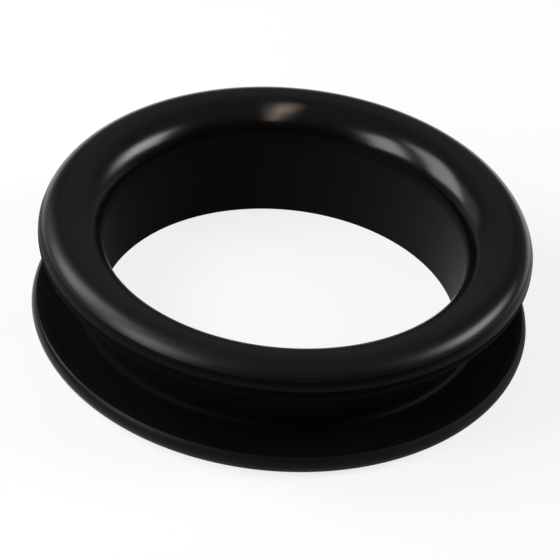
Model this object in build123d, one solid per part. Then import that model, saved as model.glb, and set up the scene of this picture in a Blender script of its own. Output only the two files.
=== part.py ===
from build123d import *
import os

# Rubber grommet, moulded in one piece: a fat rounded lip, a deep groove round a thin waist,
# and a thin flange that it lies on. Millimetres, +Z up along the bore.
# The origin is the centre of the flange's underside.

# Bore that a bundle of cables passes through
bore_diameter = 44.0

# Flange: the thin disc at the foot, measured out from the bore wall, with a fully rounded rim
flange_width = 8.4
flange_thickness = 2.8

# Groove that the edge of a panel sits in, and the waist wall left at its floor
groove_width = 7.7
waist_wall = 2.5
waist_fillet = 0.8

# Lip: the rounded bead on the show side, measured out from the bore wall and up from the groove
lip_width = 8.0
lip_height = 4.5
lip_edge_round = 1.5
lip_inner_drop = 4.8
# how far across the lip its highest ring lies, from the bore wall
lip_crown_share = 0.62

# Radii and heights that the section is drawn from
bore_radius = bore_diameter / 2
waist_radius = bore_radius + waist_wall
lip_radius = bore_radius + lip_width
flange_radius = bore_radius + flange_width
lip_underside = flange_thickness + groove_width
overall_height = lip_underside + lip_height
bore_top = overall_height - lip_inner_drop


def draw_flange():
    """Underside, full-round rim and flat top of the flange, out from the bore and back to the waist."""
    rim_middle = flange_thickness / 2
    rim_start = flange_radius - rim_middle
    Line((bore_radius, 0), (rim_start, 0))
    ThreePointArc((rim_start, 0), (flange_radius, rim_middle), (rim_start, flange_thickness))
    Line((rim_start, flange_thickness), (waist_radius + waist_fillet, flange_thickness))


def draw_groove():
    """Waist wall between its two fillets, and the flat underside of the lip."""
    fillet_centre = waist_radius + waist_fillet
    lower_fillet = flange_thickness + waist_fillet
    upper_fillet = lip_underside - waist_fillet
    CenterArc((fillet_centre, lower_fillet), waist_fillet, 270, -90)
    Line((waist_radius, lower_fillet), (waist_radius, upper_fillet))
    CenterArc((fillet_centre, upper_fillet), waist_fillet, 180, -90)
    Line((fillet_centre, lip_underside), (lip_radius - lip_edge_round, lip_underside))


def draw_lip():
    """Lower edge of the lip, then one quarter-ellipse up to its crown and one down into the bore."""
    crown_radius = bore_radius + lip_crown_share * lip_width
    widest_height = lip_underside + lip_edge_round
    CenterArc((lip_radius - lip_edge_round, widest_height), lip_edge_round, 270, 90)
    EllipticalCenterArc(
        (crown_radius, widest_height),
        lip_radius - crown_radius,
        overall_height - widest_height,
        start_angle=0,
        arc_size=90,
    )
    EllipticalCenterArc(
        (crown_radius, bore_top),
        crown_radius - bore_radius,
        lip_inner_drop,
        start_angle=90,
        arc_size=90,
    )


def draw_bore():
    """Straight bore wall, down to a crisp edge at the underside."""
    Line((bore_radius, bore_top), (bore_radius, 0))


# The section on one side of the axis, turned once round it
with BuildPart() as grommet:
    with BuildSketch(Plane.XZ):
        with BuildLine():
            draw_flange()
            draw_groove()
            draw_lip()
            draw_bore()
        make_face()
    revolve(axis=Axis.Z)

os.makedirs("parts", exist_ok=True)
export_step(grommet.part, "parts/grommet.step")

print("overall height", overall_height, "lip diameter", 2 * lip_radius, "flange diameter", 2 * flange_radius)
print("waist diameter", 2 * waist_radius, "straight bore wall", round(bore_top, 3))
print("volume in cubic millimetres", round(grommet.part.volume, 1))
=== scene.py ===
# %% [markdown]
# # A moulded rubber grommet
#
# A grommet lines a hole in a panel, so that cables pass through without chafing. This one is a single
# rubber moulding, about 60 mm across. A fat rounded lip shows on the front of the panel, a groove round the
# waist holds the panel's edge, and a thin flange closes the back.
#
# The lesson starts from the CAD solid, which fixes the size and the place. It then models the same ring
# as a smooth mesh, gives it a rubber skin, and sets it on a pale floor under soft studio light.

# %% Load the CAD part
import math

import bmesh
import bpy
from mathutils import Matrix, Vector


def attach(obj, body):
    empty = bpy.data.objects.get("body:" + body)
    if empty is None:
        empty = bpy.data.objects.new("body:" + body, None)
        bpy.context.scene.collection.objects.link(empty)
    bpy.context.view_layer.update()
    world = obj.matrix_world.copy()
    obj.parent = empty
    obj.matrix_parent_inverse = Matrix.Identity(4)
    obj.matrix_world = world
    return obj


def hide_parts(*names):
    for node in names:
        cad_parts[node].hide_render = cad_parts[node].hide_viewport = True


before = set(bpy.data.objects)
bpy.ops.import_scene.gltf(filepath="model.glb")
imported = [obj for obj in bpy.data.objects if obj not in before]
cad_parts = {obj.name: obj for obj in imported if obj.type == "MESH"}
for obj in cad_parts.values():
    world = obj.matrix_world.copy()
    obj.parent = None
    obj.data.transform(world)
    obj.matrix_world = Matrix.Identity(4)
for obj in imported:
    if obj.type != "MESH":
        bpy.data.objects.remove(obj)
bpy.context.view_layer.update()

# %% [markdown]
# ## The sizes of the ring
#
# Blender works in metres here, so each size is written in millimetres and multiplied once. These are the
# radii and heights of the corners that the section turns at. They repeat the sizes of the CAD part.

# %% Sizes of the section
mm = 0.001
bore_radius = 22.0 * mm
waist_radius = 24.5 * mm
lip_radius = 30.0 * mm
flange_radius = 30.4 * mm
flange_top = 2.8 * mm
lip_underside = 10.5 * mm
ring_height = 15.0 * mm
waist_fillet = 0.8 * mm
lip_edge_round = 1.5 * mm
bore_top = 10.2 * mm
crown_radius = 26.96 * mm
widest_height = lip_underside + lip_edge_round
rim_middle = flange_top / 2
groove_width = lip_underside - flange_top
print("lip", round(2 * lip_radius / mm, 1), "mm across, groove", round(groove_width / mm, 1), "mm wide")

# %% [markdown]
# ## The bore wall
#
# The ring could be one section spun round the axis, but then its corners could not be rounded one at a
# time. Here it grows the way a hand modeller would turn it: a short open tube is the bore wall, and
# everything else is pulled out of its upper edge, ring by ring.
#
# An operator acts on all that is selected, so the CAD part is deselected before the tube is added.

# %% Add the tube of the bore
steps_round = 256

bpy.ops.object.select_all(action="DESELECT")
bpy.ops.mesh.primitive_cylinder_add(
    vertices=steps_round,
    radius=bore_radius,
    depth=bore_top,
    end_fill_type="NOTHING",
    location=(0, 0, bore_top / 2),
)
ring = bpy.context.active_object
ring.name = "rubber_ring"
ring.data.name = "rubber_ring"
bpy.ops.object.transform_apply(location=True, rotation=True, scale=True)
print("tube of", len(ring.data.vertices), "points")

# %% [markdown]
# ## Picking one ring of edges
#
# Every later step needs one circle of edges: the one at a given radius and height. Selecting by place is
# safer than by number, because the numbers change with each cut. A second circle can be added to the
# first, for a bridge between the two.

# %% A helper that selects one circle of edges
close_by = 0.01 * mm


def select_circle(radius, height, add=False):
    if not add:
        bpy.ops.mesh.select_all(action="DESELECT")
    edit = bmesh.from_edit_mesh(ring.data)

    def on_circle(vertex):
        reach = math.hypot(vertex.co.x, vertex.co.y)
        return abs(reach - radius) < close_by and abs(vertex.co.z - height) < close_by

    found = [edge for edge in edit.edges if all(on_circle(v) for v in edge.verts)]
    for edge in found:
        edge.select_set(True)
    bmesh.update_edit_mesh(ring.data)
    return len(found)


# %% [markdown]
# ## Pulling the section out of the tube
#
# From the top of the bore the section goes up to the lip, out over it, in under it to the waist, down to
# the flange and out to its rim. Each corner is one extrusion: the last circle is copied, scaled to the
# next radius and lifted to the next height. All corners stay square for now.

# %% Extrude the corners
corners = [
    (bore_radius, ring_height),
    (crown_radius, ring_height),
    (lip_radius, ring_height),
    (lip_radius, widest_height),
    (lip_radius, lip_underside),
    (waist_radius, lip_underside),
    (waist_radius, flange_top),
    (flange_radius, flange_top),
    (flange_radius, rim_middle),
    (flange_radius, 0.0),
]

bpy.ops.object.mode_set(mode="EDIT")
bpy.ops.mesh.select_mode(type="EDGE")
radius_now, height_now = bore_radius, bore_top
select_circle(radius_now, height_now)
for radius, height in corners:
    bpy.ops.mesh.extrude_region_move(TRANSFORM_OT_translate={"value": (0, 0, height - height_now)})
    grow = radius / radius_now
    bpy.ops.transform.resize(value=(grow, grow, 1), center_override=(0, 0, 0))
    radius_now, height_now = radius, height
print("section pulled through", len(corners), "corners")

# %% [markdown]
# ## Closing the underside
#
# The last circle lies on the floor, outside the foot of the tube. Bridging the two circles makes the flat
# underside and closes the ring into one shell.

# %% Bridge the rim to the foot of the bore
select_circle(flange_radius, 0.0)
select_circle(bore_radius, 0.0, add=True)
bpy.ops.mesh.bridge_edge_loops()
bpy.ops.mesh.select_all(action="SELECT")
bpy.ops.mesh.normals_make_consistent(inside=False)
print("closed shell of", len(bmesh.from_edit_mesh(ring.data).faces), "faces")

# %% [markdown]
# ## Rounding the lip
#
# The lip is not a round bead. Its crown lies nearer the outside, so the inner side falls in a longer,
# gentler curve into the bore. A bevel measured in percent gives just that: at 100 it eats each square
# corner back to the circles on both sides of it, and leaves a quarter of an ellipse between them.

# %% Bevel the two upper corners of the lip
lip_steps = 32
merge_distance = 0.0005 * mm

for radius in (bore_radius, lip_radius):
    select_circle(radius, ring_height)
    bpy.ops.mesh.bevel(
        offset_type="PERCENT",
        offset_pct=100,
        segments=lip_steps,
        profile=0.5,
        affect="EDGES",
        clamp_overlap=False,
    )
bpy.ops.mesh.select_all(action="SELECT")
bpy.ops.mesh.remove_doubles(threshold=merge_distance)
print("lip rounded,", len(bmesh.from_edit_mesh(ring.data).faces), "faces")

# %% [markdown]
# ## Rounding the other edges
#
# The lip's lower edge, the two inner corners of the groove and the rim of the flange have plain round
# edges, so a bevel of a fixed width suits them. The foot of the bore is crisp on the real ring. It gets
# a hair of rounding, because an edge with none never catches the light.

# %% Bevel the groove, the rim and the foot
foot_round = 0.12 * mm
# radius and height of the corner, width of the rounding, and its steps
rounded_edges = [
    (lip_radius, lip_underside, lip_edge_round, 12),
    (waist_radius, lip_underside, waist_fillet, 8),
    (waist_radius, flange_top, waist_fillet, 8),
    (flange_radius, flange_top, rim_middle, 12),
    (flange_radius, 0.0, rim_middle, 12),
    (bore_radius, 0.0, foot_round, 3),
]
for radius, height, width, segments in rounded_edges:
    found = select_circle(radius, height)
    bpy.ops.mesh.bevel(
        offset_type="OFFSET",
        offset=width,
        segments=segments,
        profile=0.5,
        affect="EDGES",
        clamp_overlap=False,
    )
    print("rounded", found, "edges to", round(width / mm, 2), "mm")
bpy.ops.mesh.select_all(action="SELECT")
bpy.ops.mesh.remove_doubles(threshold=merge_distance)

# %% [markdown]
# ## Two mould lines
#
# The mould comes apart along two circles: just above the widest part of the lip, and round the widest
# part of the flange. The rubber creeps into each joint as a hairline ridge. On the lip it shows as a thin
# light line above the dark lower edge. On the flange it shows only up close.
#
# Each ridge starts from a circle of edges that is already there. A narrow bevel makes three circles of
# it, and the middle one is pushed out. The lip's circle is the third of the 32 steps of its rounding.

# %% Raise the mould lines
line_half = 0.10 * mm
line_rise = 0.03 * mm
line_step = 3

turn = math.radians(90) * line_step / lip_steps
line_radius = crown_radius + (lip_radius - crown_radius) * math.cos(turn)
line_height = widest_height + (ring_height - widest_height) * math.sin(turn)
for radius, height in ((line_radius, line_height), (flange_radius, rim_middle)):
    select_circle(radius, height)
    bpy.ops.mesh.bevel(
        offset_type="OFFSET",
        offset=line_half,
        segments=2,
        affect="EDGES",
        clamp_overlap=False,
    )
    found = select_circle(radius, height)
    grow = (radius + line_rise) / radius
    bpy.ops.transform.resize(value=(grow, grow, 1), center_override=(0, 0, 0))
    print("mould line of", found, "edges at a height of", round(height / mm, 2), "mm")
bpy.ops.mesh.select_all(action="SELECT")
bpy.ops.mesh.normals_make_consistent(inside=False)
bpy.ops.object.mode_set(mode="OBJECT")

# %% [markdown]
# ## Smooth shading that keeps the flats flat
#
# Smooth shading blends the normals of neighbouring faces. Next to a small fillet that would bend the
# light on the flat flange too, so a Weighted Normal modifier lets the large faces decide. The finished
# mesh is then held against the CAD solid, at every eleventh point.

# %% Shade the ring and measure it
sharp_angle = math.radians(40)
large_face_weight = 60
sample_step = 11

bpy.ops.object.shade_smooth_by_angle(angle=sharp_angle)
weigh = ring.modifiers.new("weigh_normals", "WEIGHTED_NORMAL")
weigh.keep_sharp = True
weigh.weight = large_face_weight
bpy.ops.object.modifier_apply(modifier=weigh.name)

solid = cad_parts["grommet"]
far_off = 0.0
for vertex in list(ring.data.vertices)[::sample_step]:
    hit, nearest, normal, face = solid.closest_point_on_mesh(vertex.co)
    far_off = max(far_off, (nearest - vertex.co).length)
print("ring of", len(ring.data.polygons), "faces, at most", round(far_off / mm, 3), "mm from the solid")

# %% [markdown]
# ## Two helpers for materials
#
# Colours are written as they look on a screen, in sRGB hex, and shaders want linear light. One function
# does that step. A second adds any node with its settings, its values and its links in one call.

# %% Colour and node helpers
def linear_colour(code):
    screen = [int(code[i : i + 2], 16) / 255 for i in (1, 3, 5)]
    light = [c / 12.92 if c <= 0.04045 else ((c + 0.055) / 1.055) ** 2.4 for c in screen]
    return (*light, 1.0)


def add_node(tree, kind, settings=None, values=None, links=None):
    node = tree.nodes.new(kind)
    for name, value in (settings or {}).items():
        setattr(node, name, value)
    for socket, value in (values or {}).items():
        node.inputs[socket].default_value = value
    for socket, source in (links or {}).items():
        tree.links.new(source, node.inputs[socket])
    return node


print("a near black in linear light:", [round(c, 4) for c in linear_colour("#080809")[:3]])

# %% [markdown]
# ## Black moulded rubber
#
# The ring is rubber filled with carbon black and pressed in a steel mould. It gives the eye almost no
# colour of its own. What shows is its skin: on the lip, where the mould was polished, long highlights
# with soft ends, and a grey sheen where the surface turns away.
#
# Rubber's index is about 1.5, and a moulded skin mirrors a little less than that. The skin is not
# flawless, so four fine patterns ride on it: an orange peel from the rubber itself, the turning marks of
# the mould, a cloudy change in gloss from handling, and a few specks of dust.

# %% Start the rubber
rubber_index = 1.5
mirror_level = 0.32

polished = bpy.data.materials.new("black_rubber_polished")
polished.use_nodes = True
tree = polished.node_tree
tree.nodes.clear()
place = add_node(tree, "ShaderNodeTexCoord")
skin = add_node(
    tree,
    "ShaderNodeBsdfPrincipled",
    settings={"name": "skin"},
    values={"IOR": rubber_index, "Metallic": 0.0, "Specular IOR Level": mirror_level},
)
add_node(tree, "ShaderNodeOutputMaterial", links={"Surface": skin.outputs["BSDF"]})
print("material", polished.name, "reads object coordinates in metres")

# %% [markdown]
# ### Gloss that is not quite even
#
# A noise with patches about 9 mm wide stands for the faint clouds that fingers and mould release leave.
# It moves the roughness by a few hundredths only, so a highlight wavers without looking dirty.
#
# One side of the ring, the near one here, is duller than the rest: its highlights are wider and softer.
# A value that grows across the ring towards that side, from a little beyond the middle, adds to the
# roughness. The side is given as on a compass, with 0 degrees away from the camera and 90 degrees to the
# right.

# %% Cloudy gloss
def compass(degrees):
    turn = math.radians(degrees)
    return Vector((math.sin(turn), math.cos(turn), 0))


cloud_size = 9.0 * mm
smoothest, coarsest = 0.18, 0.23
dullest_side = 195
dull_start = -0.4 * lip_radius
dull_extra = 0.17

clouds = add_node(
    tree,
    "ShaderNodeTexNoise",
    values={"Scale": 1 / cloud_size, "Detail": 4.0, "Roughness": 0.6},
    links={"Vector": place.outputs["Object"]},
)
gloss = add_node(
    tree,
    "ShaderNodeMapRange",
    settings={"name": "gloss"},
    values={"From Min": 0.3, "From Max": 0.7, "To Min": smoothest, "To Max": coarsest},
    links={"Value": clouds.outputs["Fac"]},
)
across = add_node(
    tree,
    "ShaderNodeVectorMath",
    settings={"name": "across", "operation": "DOT_PRODUCT"},
    values={1: compass(dullest_side)},
    links={0: place.outputs["Object"]},
)
dulling = add_node(
    tree,
    "ShaderNodeMapRange",
    settings={"name": "dulling", "interpolation_type": "SMOOTHSTEP"},
    values={"From Min": dull_start, "From Max": lip_radius, "To Min": 0.0, "To Max": dull_extra},
    links={"Value": across.outputs["Value"]},
)
rough = add_node(
    tree,
    "ShaderNodeMath",
    settings={"operation": "ADD"},
    links={0: gloss.outputs["Result"], 1: dulling.outputs["Result"]},
)
tree.links.new(rough.outputs["Value"], skin.inputs["Roughness"])
print("roughness", smoothest, "to", coarsest, "in patches of", cloud_size / mm, "mm")
print("up to", dull_extra, "more on the dull side")

# %% [markdown]
# ### Black with a little depth, and dust
#
# Carbon black is not perfectly even, so the colour drifts between two near blacks. The dust is a Voronoi
# pattern with cells 7 mm wide: only the very centre of a cell is lit, as a speck 0.2 mm across.

# %% Colour and dust
dust_spacing = 7.0 * mm
speck_width = 0.2 * mm
speck_strength = 0.6

black = add_node(
    tree,
    "ShaderNodeMixRGB",
    settings={"name": "black"},
    values={"Color1": linear_colour("#040404"), "Color2": linear_colour("#080809")},
    links={"Fac": clouds.outputs["Fac"]},
)
cells = add_node(
    tree,
    "ShaderNodeTexVoronoi",
    settings={"feature": "F1"},
    values={"Scale": 1 / dust_spacing, "Randomness": 1.0},
    links={"Vector": place.outputs["Object"]},
)
speck_edge = 0.5 * speck_width / dust_spacing
specks = add_node(
    tree,
    "ShaderNodeMapRange",
    values={"From Min": speck_edge, "From Max": 0.0, "To Min": 0.0, "To Max": speck_strength},
    links={"Value": cells.outputs["Distance"]},
)
dusted = add_node(
    tree,
    "ShaderNodeMixRGB",
    values={"Color2": linear_colour("#6b6862")},
    links={"Fac": specks.outputs["Result"], "Color1": black.outputs["Color"]},
)
tree.links.new(dusted.outputs["Color"], skin.inputs["Base Color"])
print("dust about every", dust_spacing / mm, "mm, specks of", speck_width / mm, "mm")

# %% [markdown]
# ### The moulded skin in relief
#
# Orange peel on moulded rubber is about half a millimetre wide and a few thousandths deep. The mould was
# turned on a lathe, and its marks run round the axis, about 0.35 mm apart. Real ones are finer; they are
# drawn this coarse so that they can show at all. The wave texture repeats every 2 pi / 20 of its scaled
# length, which sets its scale.

# %% Relief
peel_size = 0.5 * mm
peel_depth = 0.004 * mm
turning_pitch = 0.35 * mm
turning_depth = 0.0006 * mm
wave_length = 2 * math.pi / 20

peel = add_node(
    tree,
    "ShaderNodeTexNoise",
    values={"Scale": 1 / peel_size, "Detail": 2.0},
    links={"Vector": place.outputs["Object"]},
)
turning = add_node(
    tree,
    "ShaderNodeTexWave",
    settings={"wave_type": "RINGS", "rings_direction": "Z"},
    values={"Scale": wave_length / turning_pitch, "Distortion": 0.4, "Detail": 1.0},
    links={"Vector": place.outputs["Object"]},
)
peel_relief = add_node(
    tree,
    "ShaderNodeBump",
    values={"Strength": 1.0, "Distance": peel_depth},
    links={"Height": peel.outputs["Fac"]},
)
relief = add_node(
    tree,
    "ShaderNodeBump",
    values={"Strength": 1.0, "Distance": turning_depth},
    links={"Height": turning.outputs["Fac"], "Normal": peel_relief.outputs["Normal"]},
)
tree.links.new(relief.outputs["Normal"], skin.inputs["Normal"])
print("orange peel", peel_size / mm, "mm wide, turning marks", turning_pitch / mm, "mm apart")

# %% [markdown]
# ### Four duller finishes
#
# Only the top of the lip is for show, so only that part of the mould was polished. The side of the lip
# mirrors far less. The bore and the waist are satin, and their highlights are wide and faint. The rim of
# the flange lies between polished and satin, and draws a faint light edge round the foot. The rest of
# the groove was formed by a blasted collar, and is nearly matt. All four have a black that is a touch
# lighter.
#
# Each is a copy of the polished rubber with its mirror level, its range of roughness, its dull side and
# its two blacks changed.

# %% Side, satin, rim and groove copies
lighter_blacks = (linear_colour("#090909"), linear_colour("#0f0f10"))
# name, mirror level, least and most roughness, dull side in degrees, roughness added on that side
finish_table = [
    ("black_rubber_side", 0.07, 0.32, 0.38, 285, 0.12),
    ("black_rubber_satin", 0.055, 0.46, 0.52, 285, 0.40),
    ("black_rubber_rim", 0.15, 0.26, 0.32, 135, 0.35),
    ("black_rubber_groove", 0.035, 0.84, 0.90, 195, 0.05),
]

duller = []
for name, mirror, smooth, coarse, dull_side, dull_more in finish_table:
    finish = polished.copy()
    finish.name = name
    nodes = finish.node_tree.nodes
    nodes["skin"].inputs["Specular IOR Level"].default_value = mirror
    nodes["gloss"].inputs["To Min"].default_value = smooth
    nodes["gloss"].inputs["To Max"].default_value = coarse
    nodes["across"].inputs[1].default_value = compass(dull_side)
    nodes["dulling"].inputs["To Max"].default_value = dull_more
    nodes["black"].inputs["Color1"].default_value = lighter_blacks[0]
    nodes["black"].inputs["Color2"].default_value = lighter_blacks[1]
    duller.append(finish)
    print("material", name, "roughness", smooth, "to", coarse)
side, satin, rim, groove = duller

# %% [markdown]
# ### Where one finish meets the next
#
# The polish ends where the lip turns steep, 31 degrees short of upright on the outside and 20 degrees on
# the inside. From there the outside has the side finish, down to the mould line. The bore is satin, and
# so are the waist and its two fillets. The rounded edge of the flange has the rim finish, up to where it
# faces 52 degrees upwards. What is left has the groove finish: the lower edge and the underside of the
# lip, the flat of the flange, and the face that the ring lies on.

# %% Give each face its finish
outer_slope = math.radians(31)
inner_slope = math.radians(20)
rim_slope = math.radians(52)
bore_skin = 1.0 * mm

finishes = [polished, side, satin, rim, groove]
ring.data.materials.clear()
for finish in finishes:
    ring.data.materials.append(finish)
count = {finish.name: 0 for finish in finishes}
for face in ring.data.polygons:
    reach = math.hypot(face.center.x, face.center.y)
    slope = outer_slope if reach > crown_radius else inner_slope
    in_bore = reach < bore_radius + bore_skin
    on_waist = face.center.z > flange_top and reach < waist_radius + waist_fillet
    on_rim = face.center.z < flange_top and reach > flange_radius - rim_middle
    if face.center.z > lip_underside and face.normal.z > math.sin(slope):
        finish = polished
    elif face.center.z > line_height and reach > crown_radius:
        finish = side
    elif in_bore or on_waist:
        finish = satin
    elif on_rim and face.normal.z < math.sin(rim_slope):
        finish = rim
    else:
        finish = groove
    face.material_index = finishes.index(finish)
    count[finish.name] += 1
print("faces in each finish:", count)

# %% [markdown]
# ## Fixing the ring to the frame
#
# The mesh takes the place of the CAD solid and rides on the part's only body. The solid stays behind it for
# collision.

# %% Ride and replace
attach(ring, "root")
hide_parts("grommet")
print(ring.name, "stands for the solid on body root")

# %% [markdown]
# ## The floor
#
# The floor is a wide sheet just under the ring. Part of its white is ordinary paper that takes the
# lamps and the ring's shadow. The rest is added only for what the eye sees straight on, or in a
# reflection, so the sheet looks white without any more light falling on the rubber.

# %% Lay the floor
floor_size = 8.0
floor_drop = 0.02 * mm
added_white = 0.80

bpy.ops.object.select_all(action="DESELECT")
bpy.ops.mesh.primitive_plane_add(size=floor_size, location=(0, 0, -floor_drop))
floor = bpy.context.active_object
floor.name = "floor"
paper = bpy.data.materials.new("white_paper")
paper.use_nodes = True
tree = paper.node_tree
tree.nodes.clear()
matt = add_node(tree, "ShaderNodeBsdfDiffuse", values={"Color": linear_colour("#808080")})
path = add_node(tree, "ShaderNodeLightPath")
seen = add_node(
    tree,
    "ShaderNodeMath",
    settings={"operation": "ADD"},
    links={0: path.outputs["Is Camera Ray"], 1: path.outputs["Is Glossy Ray"]},
)
seen_through = add_node(
    tree,
    "ShaderNodeMath",
    settings={"operation": "ADD", "use_clamp": True},
    links={0: seen.outputs["Value"], 1: path.outputs["Is Transmission Ray"]},
)
fill = add_node(
    tree,
    "ShaderNodeMath",
    settings={"operation": "MULTIPLY"},
    values={1: added_white},
    links={0: seen_through.outputs["Value"]},
)
glow = add_node(tree, "ShaderNodeEmission", links={"Strength": fill.outputs["Value"]})
both = add_node(tree, "ShaderNodeAddShader", links={0: matt.outputs["BSDF"], 1: glow.outputs["Emission"]})
add_node(tree, "ShaderNodeOutputMaterial", links={"Surface": both.outputs["Shader"]})
floor.data.materials.append(paper)
print("floor", [round(v, 2) for v in floor.dimensions], "m")

# %% [markdown]
# ## The room
#
# Rubber shows what stands round it. A dim room, dark round the camera, a little lighter behind the ring
# and grey overhead, leaves the lip dark and lets the lamps draw the highlights.

# %% Dim room
room_low = 0.05
room_overhead = 0.30
room_behind = 0.13

world = bpy.data.worlds.new("dim_room")
bpy.context.scene.world = world
world.use_nodes = True
tree = world.node_tree
tree.nodes.clear()
place = add_node(tree, "ShaderNodeTexCoord")
upward = add_node(tree, "ShaderNodeSeparateXYZ", links={"Vector": place.outputs["Generated"]})
lift = add_node(
    tree,
    "ShaderNodeMapRange",
    settings={"interpolation_type": "SMOOTHSTEP"},
    values={"From Min": 0.45, "From Max": 0.98, "To Min": room_low, "To Max": room_overhead},
    links={"Value": upward.outputs["Z"]},
)
backdrop = add_node(
    tree,
    "ShaderNodeMapRange",
    settings={"interpolation_type": "SMOOTHSTEP"},
    values={"From Min": 0.3, "From Max": 0.75, "To Min": 0.0, "To Max": room_behind},
    links={"Value": upward.outputs["Y"]},
)
strength = add_node(
    tree,
    "ShaderNodeMath",
    settings={"operation": "ADD"},
    links={0: lift.outputs["Result"], 1: backdrop.outputs["Result"]},
)
air = add_node(tree, "ShaderNodeBackground", links={"Strength": strength.outputs["Value"]})
add_node(tree, "ShaderNodeOutputWorld", links={"Surface": air.outputs["Background"]})
print("room strength", room_low, "low down and", room_overhead, "overhead")
print("up to", room_behind, "more behind the ring")

# %% [markdown]
# ## Soft panels
#
# Two upright panels stand on the left, a hand's length from the ring, and one on the right a metre away.
# Each draws one long curved highlight on the lip. Standing close, the left ones show wider and higher on
# the near side of the ring than on the far side. A dimmer panel at the end of each wall lets the
# highlights fade out. A small, very dim one hangs behind the ring and lightens the far edge of the lip.
#
# A lamp's power says little about how bright it looks. The look is its power over its area and pi, so
# the helper takes the brightness that the eye sees and works the power out.

# %% Hang the panels
def hang_panel(name, wall, away, along, height, width, tall, brightness):
    lamp = bpy.data.lights.new(name, "AREA")
    lamp.shape = "RECTANGLE"
    lamp.size = width
    lamp.size_y = tall
    lamp.energy = brightness * math.pi * width * tall
    panel = bpy.data.objects.new(name, lamp)
    bpy.context.scene.collection.objects.link(panel)
    overhead = Vector((0, 0, 1))
    outward = compass(wall)
    spot = away * outward + along * compass(wall + 90) + height * overhead
    axes = Matrix((overhead.cross(outward), overhead, outward)).transposed()
    panel.matrix_world = Matrix.Translation(spot) @ axes.to_4x4()
    print(name, "at", [round(v, 3) for v in spot], "m,", round(lamp.energy, 3), "W")


# name, wall in degrees, then metres away, along the wall, up, wide and tall, and the brightness
panel_table = [
    ("left_panel_near", -95, 0.20, -0.096, 0.19, 0.108, 0.18, 8.0),
    ("left_panel_far", -95, 0.20, 0.0755, 0.195, 0.109, 0.23, 6.4),
    ("left_panel_end", -95, 0.20, 0.191, 0.125, 0.118, 0.15, 0.6),
    ("back_panel", 0, 0.10, 0.0, 0.083, 0.10, 0.086, 0.08),
    ("right_panel", 110, 1.00, -0.638, 0.79, 0.656, 0.52, 10.8),
    ("right_panel_end", 110, 1.00, -1.138, 0.79, 0.344, 0.52, 4.0),
]
for row in panel_table:
    hang_panel(*row)

# %% [markdown]
# ## A warm glint
#
# The far side of the lip carries one small warm glint, on its slope down to the bore. Six small spots on
# an arc over the ring make it. Their beams are only 5 mm wide where they meet the lip, so the glint stays
# small and the near side has none.

# %% Aim the warm spots
glint_place = Vector((-2.2 * mm, 24.1 * mm, 14.1 * mm))
beam_length = 0.30
beam_width = math.radians(1.0)
beam_side = 163
beam_rises = (46, 56, 66, 76, 86, 96)
spot_power = 0.23
spot_radius = 1.5 * mm

for degrees in beam_rises:
    lamp = bpy.data.lights.new("warm_spot", "SPOT")
    lamp.energy = spot_power
    lamp.color = linear_colour("#ffe4cc")[:3]
    lamp.shadow_soft_size = spot_radius
    lamp.spot_size = beam_width
    lamp.spot_blend = 1.0
    warm_spot = bpy.data.objects.new("warm_spot", lamp)
    bpy.context.scene.collection.objects.link(warm_spot)
    rise = math.radians(degrees)
    towards = math.cos(rise) * compass(beam_side) + Vector((0, 0, math.sin(rise)))
    warm_spot.location = glint_place + beam_length * towards
    warm_spot.rotation_euler = towards.to_track_quat("Z", "Y").to_euler()
    print(warm_spot.name, "at", [round(v, 3) for v in warm_spot.location], "m")

# %% [markdown]
# ## The camera
#
# The camera looks down on the ring from 38 degrees, from 42 cm away with a long lens, and is tipped
# about 5 degrees, so that the right side of the ring sits a little lower. The numbers came from fitting
# the outlines of the lip, the flange and the hole.

# %% Place the camera
frame_pixels = 560
pixels_long = 3411.2
look_down = math.radians(37.923)
tip = math.radians(5.414)
distance = 420.39 * mm
aim_right = 0.17 * mm
aim_up = 4.35 * mm
sensor = 36.0

camera_place = Vector((0, -distance * math.cos(look_down), distance * math.sin(look_down)))
upright = Vector((0, math.sin(look_down), math.cos(look_down)))
sideways = Vector((1, 0, 0))
picture_up = math.cos(tip) * upright - math.sin(tip) * sideways
picture_right = math.cos(tip) * sideways + math.sin(tip) * upright
aim = aim_right * picture_right + aim_up * picture_up

forward = (aim - camera_place).normalized()
right = (picture_right - picture_right.dot(forward) * forward).normalized()
up = right.cross(forward)
axes = Matrix((right, up, -forward)).transposed()
view = bpy.data.cameras.new("camera")
view.sensor_width = sensor
view.lens = sensor * pixels_long / frame_pixels
view.clip_start = 0.01
camera = bpy.data.objects.new("camera", view)
bpy.context.scene.collection.objects.link(camera)
camera.matrix_world = Matrix.Translation(camera_place) @ axes.to_4x4()
bpy.context.scene.camera = camera
print("lens", round(view.lens, 1), "mm, camera at", [round(v, 4) for v in camera_place])

# %% [markdown]
# ## Finish
#
# The Standard view shows colours as they are written.

# %% Finish
bpy.context.scene.view_settings.view_transform = "Standard"
